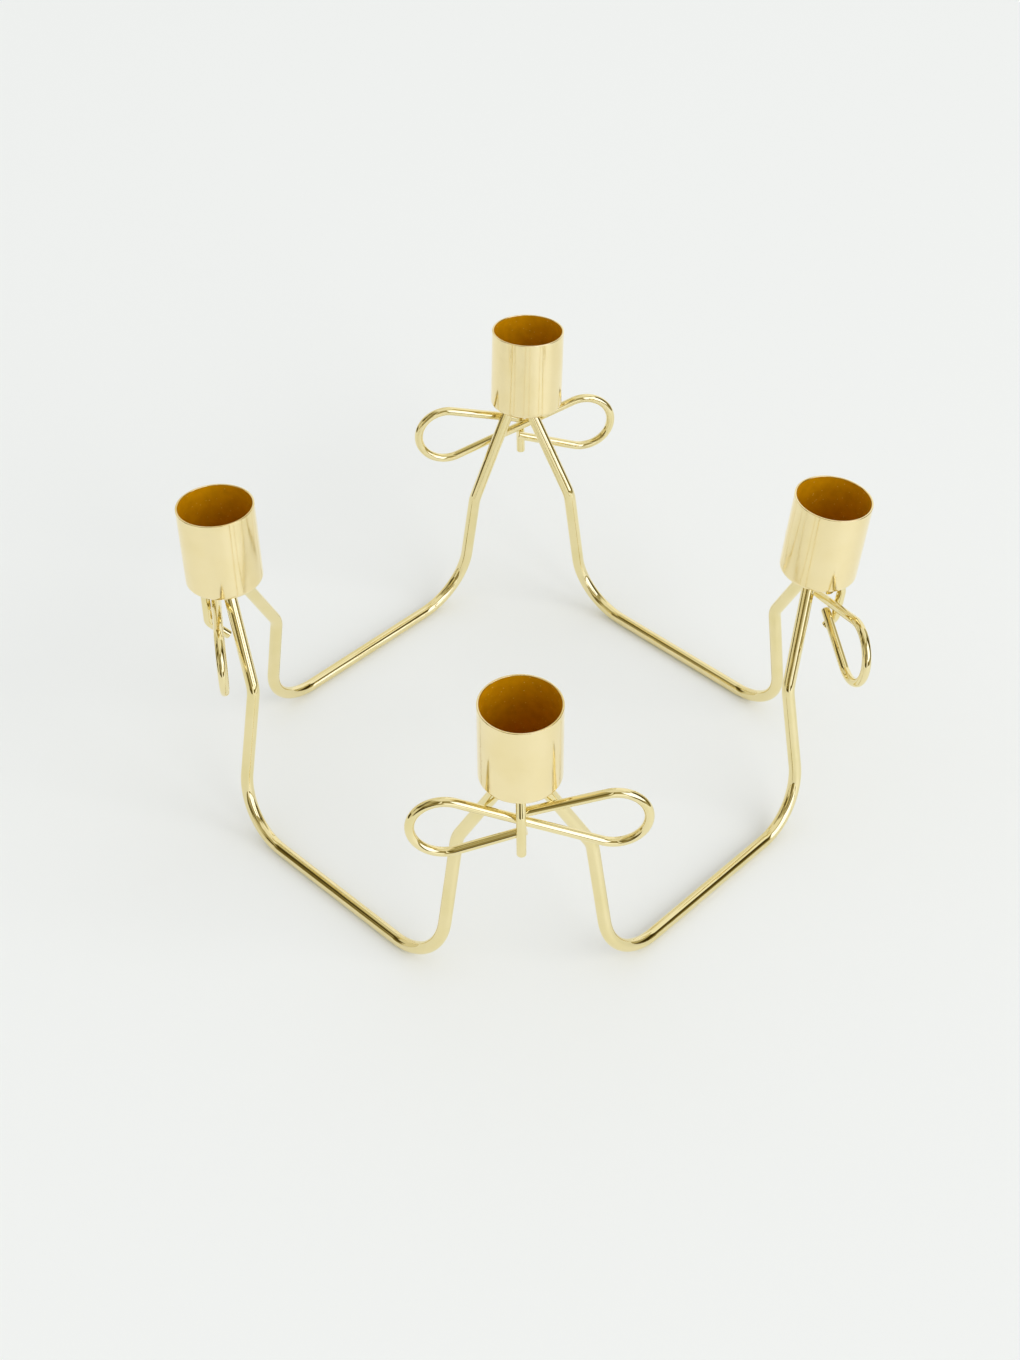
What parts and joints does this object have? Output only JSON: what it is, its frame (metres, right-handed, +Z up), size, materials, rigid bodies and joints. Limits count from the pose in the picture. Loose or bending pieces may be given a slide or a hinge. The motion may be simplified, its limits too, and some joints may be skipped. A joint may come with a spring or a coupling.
{
  "type": "candelabra",
  "caption": "Table candelabra of bent, brass-plated wire: a square of leaning U-shaped wires carries candle cups at its corners, each with a wire bow held by a bent pin.",
  "frame": {"origin": "on the table, under the middle of the part's outer box", "axes": "+Z up, +X along the front side from left to right, +Y from the front side to the back"},
  "size_m": [0.1924, 0.1914, 0.1131],
  "materials": {
    "cup_sheet": "drawn sheet with bright, faintly brushed brass plating",
    "side_wire": "drawn round wire with polished brass plating",
    "thin_wire": "thin drawn round wire with polished brass plating"
  },
  "bodies": {
    "root": {"candle_cup_front_right": "cup_sheet", "candle_cup_back_right": "cup_sheet", "candle_cup_back_left": "cup_sheet", "candle_cup_front_left": "cup_sheet", "side_wire_front": "side_wire", "side_wire_right": "side_wire", "side_wire_back": "side_wire", "side_wire_left": "side_wire", "bow_front_right": "thin_wire", "bow_back_right": "thin_wire", "bow_back_left": "thin_wire", "bow_front_left": "thin_wire", "knot_pin_front_right": "thin_wire", "knot_pin_back_right": "thin_wire", "knot_pin_back_left": "thin_wire", "knot_pin_front_left": "thin_wire"}
  },
  "joints": []
}
